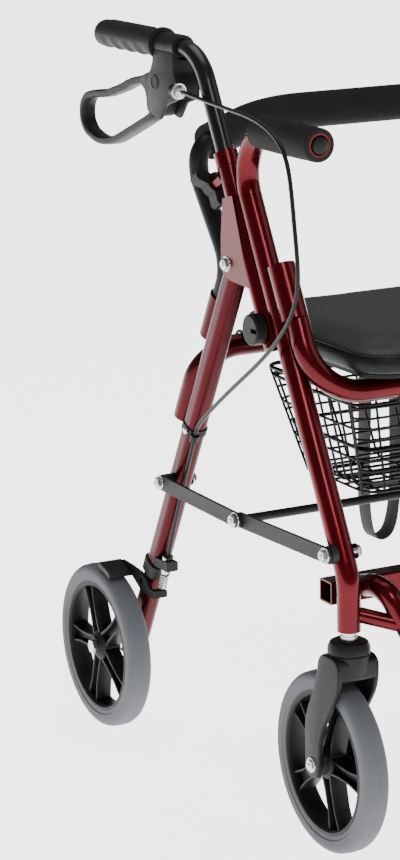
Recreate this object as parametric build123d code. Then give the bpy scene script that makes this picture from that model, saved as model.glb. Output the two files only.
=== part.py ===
"""Rollator walker: a four-wheeled walking frame with seat, basket, back bar and hand brakes.

Frame: +Z up, -Y towards the casters (the way the walker rolls), +X to the left-hand side.
The origin lies on the floor at the middle of the plan. All sizes are in millimetres.
"""
import os
from math import atan2, cos, degrees, pi, radians, sin, sqrt

from build123d import *

# Driving dimensions.
SIDE_X = 265.0          # half distance between the two side frames
TUBE_R = 12.7           # outer radius of the red frame tubes
WALL = 2.0              # tube wall
HANDLE_R = 10.0         # outer radius of the handle tubes
RECEIVER_R = 12.2       # outer radius of the tubes that take the handles
GAP = 0.3               # clearance between pieces that move past each other
FIT = 0.05              # radial running fit of pins and axles
WHEEL_R = 100.0
WHEEL_W = 30.0
AXLE_Y = 243.5          # rear axle line, and caster axles at -AXLE_Y
AXLE_R = 5.0
REAR_WHEEL_X = 298.0
STEM_Y = -280.5         # caster stem line
LEG_FOOT_Z = 257.0      # bottom of the front legs
LEG_KNEE_Z = 314.0      # where the front leg starts to slope
LEG_RUN = 0.543         # rearward run per unit of height of the front leg
ARM_Z = 763.0           # armrest height
HINGE = (-48.0, 613.0)  # fold hinge, (y, z)
REAR_RUN = 0.5345       # rearward run per unit of height of the rear leg
LINK_F = (-271.5, 340.0)
LINK_M = (-82.5, 333.5)
LINK_R = (99.5, 335.0)
FRONT_BAR = (-208.0, 494.0)
REAR_BAR = (32.0, 500.0)
SEAT_TOP = 546.0
GRIP_Z = 836.0

LEG_LEN = sqrt(1 + LEG_RUN ** 2)
LEG_DIR = Vector(0, LEG_RUN / LEG_LEN, 1 / LEG_LEN)      # up the front leg
LEG_BACK = Vector(0, 1 / LEG_LEN, -LEG_RUN / LEG_LEN)    # square to it, rearwards
REAR_LEN = sqrt(1 + REAR_RUN ** 2)
REAR_DIR = Vector(0, -REAR_RUN / REAR_LEN, 1 / REAR_LEN)  # up the rear leg
REAR_BACK = Vector(0, 1 / REAR_LEN, REAR_RUN / REAR_LEN)


def leg_point(z, back=0.0, x=-SIDE_X):
    """Point at height z on the front leg's sloping axis, moved rearwards square to it."""
    y = STEM_Y + LEG_RUN * (z - LEG_KNEE_Z)
    return Vector(x, y, z) + LEG_BACK * back


def rear_point(z, back=0.0, x=-SIDE_X):
    """Point at height z on the rear leg's axis, moved rearwards square to it."""
    return Vector(x, HINGE[0] + REAR_RUN * (HINGE[1] - z), z) + REAR_BACK * back


def route(points, bends):
    """Wire through the points with a round bend at each inner point."""
    pts = [Vector(*p) if isinstance(p, tuple) else p for p in points]
    edges, start = [], pts[0]
    for before, corner, after, radius in zip(pts, pts[1:], pts[2:], bends):
        a, b = (before - corner).normalized(), (after - corner).normalized()
        half = radians(a.get_angle(b)) / 2
        reach = radius / sin(half) * cos(half)
        mid = corner + (a + b).normalized() * (radius / sin(half) - radius)
        edges.append(Line(start, corner + a * reach))
        edges.append(ThreePointArc(corner + a * reach, mid, corner + b * reach))
        start = corner + b * reach
    edges.append(Line(start, pts[-1]))
    return Wire(edges)


def bar(points, bends, radius, inner=0.0):
    """Round bar or tube swept along a bent route."""
    path = route(points, bends)
    profile = Circle(radius) - Circle(inner) if inner else Circle(radius)
    return sweep(Plane(path @ 0, z_dir=path % 0) * profile, path=path)


def rod(start, end, radius, inner=0.0):
    """Straight round rod or tube between two points."""
    a = Vector(*start) if isinstance(start, tuple) else start
    b = Vector(*end) if isinstance(end, tuple) else end
    profile = Circle(radius) - Circle(inner) if inner else Circle(radius)
    return extrude(Plane(a, z_dir=(b - a).normalized()) * profile, (b - a).length)


def cross_rod(y, z, x0, x1, radius, inner=0.0):
    """Rod along X at (y, z)."""
    return rod((x0, y, z), (x1, y, z), radius, inner)


def bolt(y, z, x0, x1, radius=3.0, head=6.5, thick=4.0):
    """Bolt along X from x0 to x1, with a hex head outside x0 and a nut outside x1."""
    way = 1 if x1 > x0 else -1
    shank = cross_rod(y, z, x0 - way * 0.5, x1 + way * 0.5, radius)
    ends = [(x0 - way * thick, x0), (x1, x1 + way * thick)]
    for a, b in ends:
        face = Plane((min(a, b), y, z), x_dir=(0, 1, 0), z_dir=(1, 0, 0))
        shank += extrude(face * RegularPolygon(head, 6), abs(b - a))
    return shank


def plate(outline, x0, x1):
    """Flat plate between x0 and x1 with its outline given as (y, z) points."""
    face = Plane((0, 0, 0), x_dir=(0, 1, 0), z_dir=(1, 0, 0))
    profile = make_face(Polyline(*[(y, z) for y, z in outline], close=True))
    return Pos(min(x0, x1), 0, 0) * extrude(face * profile, abs(x1 - x0))


def capsule(a, b, radius, x0, x1):
    """Flat link with round ends between two (y, z) points, from x0 to x1."""
    low = min(x0, x1)
    length = sqrt((b[0] - a[0]) ** 2 + (b[1] - a[1]) ** 2)
    turn = degrees(atan2(b[1] - a[1], b[0] - a[0]))
    face = Plane((low, (a[0] + b[0]) / 2, (a[1] + b[1]) / 2), x_dir=(0, 1, 0), z_dir=(1, 0, 0))
    profile = Rot(0, 0, turn) * SlotCenterToCenter(length, 2 * radius)
    return extrude(face * profile, abs(x1 - x0))


def other_side(shape):
    """The same piece on the other side frame."""
    return mirror(shape, about=Plane.YZ)


def both(shape):
    """A piece and its mirror image, as one node."""
    return Compound(children=list(shape.solids()) + list(other_side(shape).solids()))


def save(name, shape):
    """Write one node."""
    export_step(shape, f"parts/{name}.step")


def save_pair(name, shape):
    """Write a piece for the right and the left side frame."""
    save(name + "_right", shape)
    save(name + "_left", other_side(shape))


REC_BACK = 24.3         # receiver axis behind the front leg's axis
REC_X = -SIDE_X - 3.0
SLEEVE_BACK = -27.0     # open sleeve in front of the leg
SLEEVE_BORE = 11.4
SOCKET_X = -SIDE_X + 7.0
SOCKET_BACK = 25.4
BACK_TUBE_R = 11.0
CHEEK = (12.2, 15.2)    # hinge cheeks, from and to, either side of the side frame


def front_leg():
    """Front leg with armrest arm, handle receiver, hinge cheeks and open sleeve, welded."""
    arm_start = Vector(-SIDE_X, STEM_Y + LEG_RUN * (ARM_Z - LEG_KNEE_Z), ARM_Z)
    points = [(-SIDE_X, STEM_Y, LEG_FOOT_Z), (-SIDE_X, STEM_Y, LEG_KNEE_Z), arm_start,
              (-SIDE_X, -226.0, ARM_Z)]
    bends = [60.0, 50.0]
    leg = bar(points, bends, TUBE_R)
    bore = bar([(-SIDE_X, STEM_Y, 287.0)] + points[1:], bends, TUBE_R - WALL)
    low, high = leg_point(545.0, REC_BACK, REC_X), leg_point(728.0, REC_BACK, REC_X)
    leg += rod(low, high, RECEIVER_R)
    outer = [(-62, 690), (-40, 684), (-35, 640), (-35, 606), (-42, 599), (-56, 596), (-98, 594)]
    inner = [(-75, 690), (-40, 684), (-35, 640), (-35, 606), (-42, 599), (-56, 596), (-126, 594)]
    leg += plate(outer, -SIDE_X - CHEEK[1], -SIDE_X - CHEEK[0])
    leg += plate(inner, -SIDE_X + CHEEK[0], -SIDE_X + CHEEK[1])
    top, foot = leg_point(612.0, SLEEVE_BACK), leg_point(558.0, SLEEVE_BACK)
    leg += rod(foot, top, 15.0)
    leg -= bore
    leg -= rod(low - LEG_DIR, high + LEG_DIR, HANDLE_R + GAP)
    leg -= rod(foot - LEG_DIR, top + LEG_DIR, SLEEVE_BORE)
    leg -= rod((-SIDE_X, STEM_Y, LEG_FOOT_Z - 1), (-SIDE_X, STEM_Y, 288.0), 6.0 + FIT)
    leg -= cross_rod(*HINGE, -SIDE_X - 20, -SIDE_X + 20, 4.0 + FIT)
    leg -= cross_rod(*LINK_F, -SIDE_X - 20, -SIDE_X + 20, 3.0)
    return leg


def front_seat_bar():
    """Bar across the front under the seat, bent up at both ends along the legs."""
    end = leg_point(566.0, -25.2, -SIDE_X + 4)
    corner = Vector(-SIDE_X + 4, FRONT_BAR[0], FRONT_BAR[1])
    points = [end, corner, Vector(-corner.X, corner.Y, corner.Z), Vector(-end.X, end.Y, end.Z)]
    piece = bar(points, [58.0, 58.0], TUBE_R)
    for side in (-1, 1):
        x = side * SIDE_X
        piece -= rod(leg_point(400.0, 0, x), leg_point(700.0, 0, x), TUBE_R + 0.03)
        piece -= rod(leg_point(558.0, SLEEVE_BACK, x), leg_point(612.0, SLEEVE_BACK, x), 15.03)
    return piece


def crossbar():
    """Square cross tube low on the front legs, with the bent foot bar in front of it."""
    y, z = -246.0, 292.0
    square = Plane((-SIDE_X - 8, y, z), x_dir=(0, 1, 0), z_dir=(1, 0, 0)) * RectangleRounded(25, 25, 2)
    hollow = Plane((-SIDE_X - 9, y, z), x_dir=(0, 1, 0), z_dir=(1, 0, 0)) * RectangleRounded(21, 21, 1)
    tube = extrude(square, 2 * SIDE_X + 16)
    half = [(-232, -252, 294), (-228, -290, 305), (-205, -325, 236), (-118, -300, 196)]
    foot = bar(half + [(-px, py, pz) for px, py, pz in reversed(half)],
               [30.0, 34.0, 34.0, 34.0, 34.0, 30.0], 12.0)
    tube += foot
    for side in (-1, 1):
        tube += rod((side * 256, -282, 274), (side * 212, -314, 262), 8.5)
    tube -= extrude(hollow, 2 * SIDE_X + 18)
    for side in (-1, 1):
        tube -= rod((side * SIDE_X, STEM_Y, 200), (side * SIDE_X, STEM_Y, 400), TUBE_R + 0.02)
    return tube


def armrest():
    """Foam sleeve on the armrest, and the plug in the tube's end."""
    foam = rod((-SIDE_X, -226.5, ARM_Z), (-SIDE_X, -100.0, ARM_Z), 18.5, TUBE_R + 0.02)
    bend = Vector(-SIDE_X, STEM_Y + LEG_RUN * (ARM_Z - LEG_KNEE_Z), ARM_Z)
    foam -= bar([leg_point(600.0), bend, (-SIDE_X, -226.0, ARM_Z)], [50.0], TUBE_R + 0.03)
    plug = rod((-SIDE_X, -231.0, ARM_Z), (-SIDE_X, -226.3, ARM_Z), 9.5)
    plug += rod((-SIDE_X, -227.0, ARM_Z), (-SIDE_X, -215.0, ARM_Z), TUBE_R - WALL - 0.05)
    return foam, plug


def collar():
    """Clamp collar on the receiver, with the boss that takes the clamping screw."""
    base, top = leg_point(728.2, REC_BACK, REC_X), leg_point(743.0, REC_BACK, REC_X)
    piece = rod(base, top, RECEIVER_R + 1.2)
    skirt = leg_point(716.0, REC_BACK, REC_X)
    boss = leg_point(724.0, REC_BACK + 12.4, REC_X)
    piece += rod(boss, boss + LEG_BACK * 20, 9.0)
    piece -= rod(skirt, top + LEG_DIR, HANDLE_R + GAP)
    piece -= rod(skirt - LEG_DIR * 30, base, RECEIVER_R + 0.02)
    piece -= rod(boss, boss + LEG_BACK * 21, 4.0 + FIT)
    return piece


def star_knob():
    """Three-lobed hand knob with its screw, behind the collar."""
    boss = leg_point(724.0, REC_BACK + 12.4, REC_X)
    start = boss + LEG_BACK * 20.5
    face = Plane(start, x_dir=(1, 0, 0), z_dir=LEG_BACK)
    profile = Circle(12.0)
    for turn in (90, 210, 330):
        profile += Rot(0, 0, turn) * Pos(13, 0) * SlotCenterToCenter(14, 13)
    return extrude(face * profile, 17.0) + rod(boss + LEG_BACK * 4.5, start + LEG_BACK, 4.0)


def height_knob():
    """Round locking knob on the outboard wall of the receiver."""
    at = leg_point(566.0, REC_BACK, REC_X)
    x = REC_X - RECEIVER_R - 0.6
    knob = rod((x, at.Y, at.Z), (x - 13, at.Y, at.Z), 17.0)
    knob = fillet(knob.edges().group_by(Axis.X)[0], 2.5)
    knob -= Pos(x - 12, at.Y - 9, at.Z) * Box(8, 12, 5)
    return knob


def handle():
    """Height-adjustable handle tube, its grip, and the brake housing clamped on it."""
    low = leg_point(580.0, REC_BACK, REC_X)
    corner = leg_point(GRIP_Z, REC_BACK, REC_X)
    run = (GRIP_Z - corner.Z) / LEG_DIR.Z
    corner = corner + LEG_DIR * run
    tube = bar([low, corner, (REC_X, 262.0, GRIP_Z)], [60.0], HANDLE_R, HANDLE_R - 1.6)
    grip = rod((REC_X, 119.0, GRIP_Z), (REC_X, 268.0, GRIP_Z), 16.0)
    grip += rod((REC_X, 117.0, GRIP_Z), (REC_X, 121.0, GRIP_Z), 19.0)
    grip += Pos(REC_X, 196, GRIP_Z + 8) * Box(30, 120, 20)
    grip -= rod((REC_X, 116.0, GRIP_Z), (REC_X, 262.4, GRIP_Z), HANDLE_R + 0.02)
    return tube, grip


PIVOT = (113.0, 795.0)
FERRULE = (REC_X - 12.0, 46.0, 790.0)


def brake_housing():
    """Clamp, two cheeks for the lever and the boss where the cable leaves."""
    body = rod((REC_X, 68.0, GRIP_Z), (REC_X, 114.0, GRIP_Z), 14.5)
    cheek = [(68, 830), (114, 830), (122, 812), (132, 798), (128, 760), (102, 752), (86, 772),
             (58, 780), (58, 798), (68, 808)]
    body += plate(cheek, REC_X - 14.5, REC_X - 10.4)
    body += plate(cheek, REC_X + 10.4, REC_X + 14.5)
    core = [(68, 830), (112, 830), (110, 814), (86, 810), (80, 781), (58, 780), (58, 798), (68, 808)]
    body += plate(core, REC_X - 12, REC_X + 12)
    body += rod((FERRULE[0], 58.4, 790.0), (FERRULE[0], 72.0, 790.0), 7.5)
    body -= rod((REC_X, 60.0, GRIP_Z), (REC_X, 120.0, GRIP_Z), HANDLE_R + 0.02)
    body -= cross_rod(*PIVOT, REC_X - 20, REC_X + 20, 4.0 + FIT)
    return body


def brake_lever():
    """Loop lever with its pivot pin."""
    outer = [(98, 806), (134, 806), (300, 765), (330, 751), (335, 736), (318, 714), (279, 702),
             (240, 706), (164, 738), (112, 752), (96, 772)]
    gap = [(150, 789), (296, 753), (319, 742), (306, 725), (278, 715), (243, 719), (170, 749),
           (147, 764)]
    lever = plate(outer, REC_X - 10, REC_X + 10) - plate(gap, REC_X - 11, REC_X + 11)
    return lever + cross_rod(*PIVOT, REC_X - 14.2, REC_X + 14.2, 4.0)


# The cable's route, from the housing's nut round in front of the frame and down the rear leg.
CABLE_R = 2.4
CABLE_B = Vector(-295.0, -205.0, 768.0)
CABLE_C = Vector(-295.0, -236.0, 595.0)
CABLE_D = Vector(-276.0, 36.0, 412.0)
CABLE_E = Vector(-270.0, 100.0, 298.0)
CABLE_END = Vector(-269.0, 128.0, 236.0)
CABLE_SPLIT = CABLE_B + (CABLE_C - CABLE_B) * 0.49


def cables():
    """Upper and lower stretch of the brake cable, meeting in the free span."""
    upper = bar([FERRULE, CABLE_B, CABLE_SPLIT - Vector(0, 0, -0.2)], [88.0], CABLE_R)
    points = [CABLE_SPLIT + Vector(0, 0, -0.2), CABLE_C, CABLE_D, CABLE_E, CABLE_END]
    lower = bar(points, [130.0, 50.0, 90.0], CABLE_R)
    return upper, lower


def rear_leg():
    """Rear leg extrusion with the two welded sockets and the axle plate."""
    foot = rear_point(114.0)
    length = (622.0 - 114.0) / REAR_DIR.Z
    face = Plane(foot, x_dir=(1, 0, 0), z_dir=REAR_DIR)
    leg = extrude(face * RectangleRounded(23.4, 25.4, 9.0), length)
    bore = extrude(face * RectangleRounded(19.4, 21.4, 7.0), length)
    low, high = rear_point(506.0, SOCKET_BACK, SOCKET_X), rear_point(556.0, SOCKET_BACK, SOCKET_X)
    leg += rod(low, high, 13.6)
    leg += capsule((rear_point(124.0).Y, 124.0), (AXLE_Y, WHEEL_R), 13.0, -SIDE_X - 11.0, -SIDE_X - 3.0)
    leg -= bore
    leg -= rod(low - REAR_DIR, high + REAR_DIR, BACK_TUBE_R + GAP)
    leg -= cross_rod(*HINGE, -SIDE_X - 20, -SIDE_X + 20, 4.0 + FIT)
    leg -= cross_rod(AXLE_Y, WHEEL_R, -SIDE_X - 20, -SIDE_X + 20, AXLE_R)
    button = rear_point(530.0, SOCKET_BACK, SOCKET_X)
    leg -= rod(button, button + REAR_BACK * 20, 3.8)
    leg -= cross_rod(*LINK_R, -SIDE_X - 20, -SIDE_X + 20, 3.0)
    return leg


def rear_seat_bar():
    """Bar under the back of the seat, with both ends turned down behind the rear legs."""
    end = rear_point(402.0, 25.5)
    rise = (REAR_BAR[1] - end.Z) / REAR_DIR.Z
    corner = end + REAR_DIR * rise
    points = [end, corner, Vector(-corner.X, corner.Y, corner.Z), Vector(-end.X, end.Y, end.Z)]
    return bar(points, [46.0, 46.0], TUBE_R)


def rear_leg_plugs():
    """Plugs in the top and the bottom of the rear leg."""
    pieces = []
    for z, way in ((622.0, 1), (114.0, -1)):
        face = Plane(rear_point(z), x_dir=(1, 0, 0), z_dir=REAR_DIR * way)
        plug = extrude(face * RectangleRounded(23.0, 25.0, 9.0), 3.0 if way > 0 else 12.0)
        inside = Plane(rear_point(z), x_dir=(1, 0, 0), z_dir=REAR_DIR * -way)
        plug += extrude(inside * RectangleRounded(19.3, 21.3, 7.0), 7.0)
        plug -= capsule((rear_point(124.0).Y, 124.0), (AXLE_Y, WHEEL_R), 13.03,
                        -SIDE_X - 11.03, -SIDE_X - 2.97)
        plug -= cross_rod(*HINGE, -SIDE_X - 20, -SIDE_X + 20, 4.3)
        pieces.append(plug)
    return pieces


FRONT_LINK_X = (-288.2, -284.2)
REAR_LINK_X = (-292.6, -288.6)


def links():
    """Front and rear fold link of one side, the rod between the sides is separate."""
    front = capsule(LINK_F, LINK_M, 8.5, *FRONT_LINK_X)
    rear = capsule(LINK_R, LINK_M, 8.5, *REAR_LINK_X)
    front -= cross_rod(*LINK_F, -295, -280, 4.0 + FIT)
    rear -= cross_rod(*LINK_R, -295, -280, 4.0 + FIT)
    return front, rear


def link_pivots():
    """Bolt and spacer at the front and the rear end of the links, and the middle bolt's head."""
    front_x, rear_x = -SIDE_X - TUBE_R, -SIDE_X - 11.7
    front = bolt(*LINK_F, FRONT_LINK_X[0] - 0.4, -SIDE_X + TUBE_R + 0.4, 2.95)
    front += cross_rod(*LINK_F, FRONT_LINK_X[0] - 0.4, front_x - 5.0, 4.0)
    rear = bolt(*LINK_R, REAR_LINK_X[0] - 0.4, -SIDE_X + 12.2, 2.95)
    rear += cross_rod(*LINK_R, REAR_LINK_X[0] - 0.4, rear_x - 9.0, 4.0)
    front_pad = cross_rod(*LINK_F, front_x + 1.2, FRONT_LINK_X[1] + 0.3, 10.0, 3.0)
    front_pad -= rod((-SIDE_X, STEM_Y, 250), (-SIDE_X, STEM_Y, LEG_KNEE_Z), TUBE_R)
    front_pad -= bar([(-SIDE_X, STEM_Y, LEG_FOOT_Z), (-SIDE_X, STEM_Y, LEG_KNEE_Z), leg_point(500.0)],
                     [60.0], TUBE_R + 0.02)
    front_pad -= cross_rod(*LINK_F, -292, -280, 4.05)
    rear_pad = cross_rod(*LINK_R, rear_x - 0.02, REAR_LINK_X[1] + 0.3, 9.0, 4.05)
    face = Plane((REAR_LINK_X[0] - 5.5, *LINK_M), x_dir=(0, 1, 0), z_dir=(1, 0, 0))
    head = extrude(face * RegularPolygon(6.5, 6), 4.2)
    head += cross_rod(*LINK_M, REAR_LINK_X[0] - 1.6, REAR_LINK_X[0] + 0.1, 8.0)
    return front, rear, front_pad, rear_pad, head


def tyre(x, y):
    """Grey tyre with round shoulders."""
    profile = Pos(0, 89.8) * Rectangle(WHEEL_W, 20.4)
    corners = profile.vertices().group_by(Axis.Y)[-1]
    profile = fillet(corners, 9.0)
    return Pos(x, y, WHEEL_R) * revolve(profile, Axis.X)


def rim(x, y, hub):
    """Five-spoke rim with its hub."""
    profile = Pos(0, 76.0) * Rectangle(27.0, 7.0)
    wheel = revolve(profile, Axis.X)
    wheel += cross_rod(0, 0, -hub / 2, hub / 2, 17.0)
    for k in range(5):
        wheel += Rot(72 * k + 18, 0, 0) * Pos(0, 0, 44) * Box(12, 19, 62)
    wheel -= cross_rod(0, 0, -40, 40, AXLE_R + FIT)
    return Pos(x, y, WHEEL_R) * wheel


def fork():
    """Caster fork: crown round the stem and two legs down to the axle."""
    body = rod((-SIDE_X, STEM_Y, 207.0), (-SIDE_X, STEM_Y, 248.0), 23.0)
    body = fillet(body.edges().group_by(Axis.Z)[-1], 5.0)
    body += Pos(-SIDE_X, STEM_Y + 2, 214.0) * Box(51.0, 38.0, 20.0)
    for side in (-1, 1):
        low, high = -SIDE_X + side * 19.5, -SIDE_X + side * 25.5
        body += capsule((STEM_Y + 4, 206.0), (-AXLE_Y, WHEEL_R), 14.0, low, high)
    body -= cross_rod(-AXLE_Y, WHEEL_R, -SIDE_X - 30, -SIDE_X + 30, AXLE_R)
    body -= rod((-SIDE_X, STEM_Y, 230.0), (-SIDE_X, STEM_Y, 250.0), 6.0)
    return body


def caster_bolts():
    """Stem with its collar nut, and the axle bolt through the fork."""
    stem = rod((-SIDE_X, STEM_Y, 230.1), (-SIDE_X, STEM_Y, 284.0), 6.0)
    stem += rod((-SIDE_X, STEM_Y, 248.1), (-SIDE_X, STEM_Y, 256.4), 9.0)
    x0, x1 = -SIDE_X - 25.6, -SIDE_X + 25.6
    axle = bolt(-AXLE_Y, WHEEL_R, x0, x1, AXLE_R, 8.5, 4.5)
    return Compound(children=[*stem.solids(), *axle.solids()])


def rear_axle():
    """Axle bolt of a rear wheel, with its spacer against the axle plate."""
    axle = bolt(AXLE_Y, WHEEL_R, -REAR_WHEEL_X - 15.6, -SIDE_X - 2.8, AXLE_R, 8.5, 4.4)
    axle += cross_rod(AXLE_Y, WHEEL_R, -REAR_WHEEL_X + 15.4, -SIDE_X - 11.2, 8.0)
    return axle


BRAKE_PIVOT = (174.9, 196.0)


def brake_bracket():
    """Band on the rear leg that holds the cable's end and the brake arm's pivot."""
    band = extrude(Plane(rear_point(207.0), x_dir=(1, 0, 0), z_dir=REAR_DIR)
                   * RectangleRounded(28.4, 31.0, 9.0), 17.0)
    band += Pos(-269, 135, 225) * Box(15, 34, 11)
    band -= extrude(Plane(rear_point(190.0), x_dir=(1, 0, 0), z_dir=REAR_DIR)
                    * RectangleRounded(23.44, 25.44, 9.0), 60.0)
    run = Vector(-269, 139, 212) - CABLE_END
    band -= rod(CABLE_END, CABLE_END + run * 1.2, 4.55)
    band -= rod(CABLE_END, CABLE_END + run.normalized() * 4.7, 6.6)
    return band


def brake_arm():
    """Arm outside the rear leg with a tab for the cable and a shoe over the tyre."""
    outline = [(140, 191), (140, 182), (152, 181), (176, 184), (200, 197), (226, 203), (226, 209),
               (198, 208), (176, 206), (164, 201), (152, 191)]
    arm = plate(outline, -282.5, -278.6)
    arm += Pos(-272.3, 146, 186.2) * Box(14, 12, 8)
    ring = cross_rod(AXLE_Y, WHEEL_R, -311.0, -281.0, 109.0, 102.8)
    arm += ring & (Pos(-296, 217, 203) * Box(30, 30, 16))
    arm -= cross_rod(*BRAKE_PIVOT, -290, -270, 4.0 + FIT)
    return arm


def brake_pins():
    """Pivot pin of the brake arm, welded to the leg's outboard wall."""
    pin = cross_rod(*BRAKE_PIVOT, -284.6, -276.72, 4.0)
    pin += cross_rod(*BRAKE_PIVOT, -286.4, -282.8, 6.5)
    return pin


def brake_spring():
    """Return spring between the bracket and the arm's tab."""
    a, b = Vector(-269, 139.2, 211.0), Vector(-269, 146.5, 191.2)
    axis = b - a
    coil = Helix(pitch=3.2, height=axis.length - 1.6, radius=4.6)
    wire = sweep(Plane(coil @ 0, z_dir=coil % 0) * Circle(0.7), path=coil, is_frenet=True)
    return Plane(a + axis.normalized() * 0.8, x_dir=(1, 0, 0), z_dir=axis.normalized()) * wire


def cable_adjuster():
    """Threaded barrel that ends the cable's sheath at the bracket."""
    way = (Vector(-269, 139, 212) - CABLE_END).normalized()
    barrel = rod(CABLE_END + way * 0.5, CABLE_END + way * 25.0, 4.5)
    return barrel + rod(CABLE_END + way * 0.6, CABLE_END + way * 4.6, 6.5)


def cable_clip():
    """Band clip that holds the cable to the rear leg."""
    band = extrude(Plane(rear_point(401.0), x_dir=(1, 0, 0), z_dir=REAR_DIR)
                   * RectangleRounded(26.0, 28.0, 9.5), 9.0)
    at = CABLE_D + (CABLE_E - CABLE_D) * 0.13
    way = (CABLE_E - CABLE_D).normalized()
    band += rod(at - way * 4.5, at + way * 4.5, 5.0)
    band -= extrude(Plane(rear_point(385.0), x_dir=(1, 0, 0), z_dir=REAR_DIR)
                    * RectangleRounded(23.44, 25.44, 9.0), 60.0)
    band -= rod(at - way * 20, at + way * 20, CABLE_R + 0.1)
    band -= rod(rear_point(380.0, 25.5), rear_point(460.0, 25.5), TUBE_R + 0.03)
    return band


def seat():
    """Cushion, and the board under it with its two hinge straps round the front bar."""
    y0, y1, half = -262.0, 42.0, 228.0
    mid = (y0 + y1) / 2
    face = Plane((0, mid, 517.4)) * RectangleRounded(2 * half, y1 - y0, 46.0)
    cushion = extrude(face, SEAT_TOP - 517.4)
    cushion = fillet(cushion.edges().group_by(Axis.Z)[-1], 11.0)
    board = extrude(Plane((0, mid, 513.1)) * RectangleRounded(2 * half - 24, y1 - y0 - 24, 36), 4.1)
    for x in (-150, 150):
        strap = cross_rod(*FRONT_BAR, x - 11, x + 11, 16.4)
        strap += Pos(x, FRONT_BAR[0], 511.5) * Box(22, 24, 4)
        board += strap - cross_rod(*FRONT_BAR, x - 12, x + 12, TUBE_R + 0.08)
    return cushion, board


BASKET_HINGE = (-190.0, 478.0)


def basket():
    """Open basket, wider at the top, that hangs under the seat."""
    def level(z, half, y0, y1, inset=0.0):
        size = (2 * (half - inset), y1 - y0 - 2 * inset)
        return Plane((0, (y0 + y1) / 2, z)) * RectangleRounded(*size, 24 - inset)
    outer = loft([level(362.0, 176.0, -172.0, -22.0), level(482.0, 202.0, -188.0, 22.0)])
    inner = loft([level(364.5, 176.5, -172.3, -21.2, 2.5), level(484.5, 202.5, -188.3, 22.9, 2.5)])
    rim = cross_rod(*BASKET_HINGE, -172.0, 172.0, 3.0)
    return outer - inner + rim


BACK = [rear_point(512.0, SOCKET_BACK, SOCKET_X), rear_point(592.0, SOCKET_BACK, SOCKET_X),
        Vector(SOCKET_X, 56.0, 695.0), Vector(SOCKET_X, 57.0, 726.0), Vector(-140.0, 118.0, 748.0)]


def back_rest():
    """Bent back tube across both rear sockets, and the foam round its upper part."""
    right = BACK
    left = [Vector(-p.X, p.Y, p.Z) for p in reversed(BACK)]
    bends = [40.0, 40.0, 22.0, 280.0]
    tube = bar(right + left, bends + bends[::-1], BACK_TUBE_R)
    for x in (SOCKET_X, -SOCKET_X):
        button = rear_point(530.0, SOCKET_BACK, x)
        tube -= rod(button + REAR_BACK * 6, button + REAR_BACK * 20, 3.8)
    start = BACK[3] + (BACK[4] - BACK[3]) * 0.17
    ends = [start, BACK[4], Vector(-BACK[4].X, BACK[4].Y, BACK[4].Z), Vector(-start.X, start.Y, start.Z)]
    foam = bar(ends, [280.0, 280.0], 21.0) - bar(ends, [280.0, 280.0], BACK_TUBE_R + 0.05)
    return tube, foam


def snap_button():
    """Spring button that locks the back tube in its socket."""
    at = rear_point(530.0, SOCKET_BACK, SOCKET_X)
    return rod(at + REAR_BACK * (BACK_TUBE_R + 0.4), at + REAR_BACK * 16.5, 3.7)


def strap():
    """Webbing loop that hangs from the bar under the back of the seat."""
    points = [(-52, 42, 486.5), (-52, 42, 245), (-6, 42, 245), (-6, 42, 486.5)]
    path = route(points, [22.5, 22.5])
    return sweep(Plane(path @ 0, z_dir=path % 0) * Rectangle(2.0, 24.0), path=path)


def main():
    """Build and write every node."""
    os.makedirs("parts", exist_ok=True)
    save("front_legs", both(front_leg()))
    save("front_seat_bar", front_seat_bar())
    save("front_crossbar", crossbar())
    foam, plug = armrest()
    save("armrest_foams", both(foam))
    save("armrest_plugs", both(plug))
    save("receiver_collars", both(collar()))
    save_pair("star_knob", star_knob())
    save_pair("height_knob", height_knob())
    tube, grip = handle()
    save_pair("handle_tube", tube)
    save_pair("handle_grip", grip)
    save_pair("brake_housing", brake_housing())
    save_pair("brake_lever", brake_lever())
    upper, lower = cables()
    save_pair("cable_upper", upper)
    save_pair("cable_lower", lower)
    save("rear_legs", both(rear_leg()))
    save("rear_seat_bar", rear_seat_bar())
    save("rear_leg_plugs", Compound(children=[both(plug) for plug in rear_leg_plugs()]))
    front, rear = links()
    save("front_links", both(front))
    save("link_rod", cross_rod(*LINK_M, FRONT_LINK_X[1] + 0.02, -FRONT_LINK_X[1] - 0.02, 5.0))
    front_bolt, rear_bolt, front_pad, rear_pad, head = link_pivots()
    save_pair("rear_link", rear + head)
    hinge = bolt(*HINGE, -SIDE_X - CHEEK[1], -SIDE_X + CHEEK[1], 4.0, 8.0, 4.5)
    save("front_frame_bolts", Compound(children=[both(hinge), both(front_bolt)]))
    save("rear_frame_bolts", Compound(children=[both(rear_bolt), both(brake_pins())]))
    save("front_link_spacers", both(front_pad))
    save_pair("caster_fork", fork())
    save_pair("caster_bolts", caster_bolts())
    save_pair("caster_tyre", tyre(-SIDE_X, -AXLE_Y))
    save_pair("caster_rim", rim(-SIDE_X, -AXLE_Y, 38.0))
    save_pair("rear_tyre", tyre(-REAR_WHEEL_X, AXLE_Y))
    save_pair("rear_rim", rim(-REAR_WHEEL_X, AXLE_Y, 30.0))
    save("rear_axles", both(rear_axle()))
    save("brake_brackets", both(brake_bracket()))
    save_pair("brake_arm", brake_arm())
    save_pair("brake_spring", brake_spring())
    save("cable_adjusters", both(cable_adjuster()))
    save("rear_leg_clips", Compound(children=[both(cable_clip()), both(rear_pad)]))
    cushion, board = seat()
    save("seat_cushion", cushion)
    save("seat_board", board)
    save("basket", basket())
    tube, foam = back_rest()
    save("back_tube", tube)
    save("back_foam", foam)
    save_pair("snap_button", snap_button())
    save("strap", strap())


if __name__ == "__main__":
    main()
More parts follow.
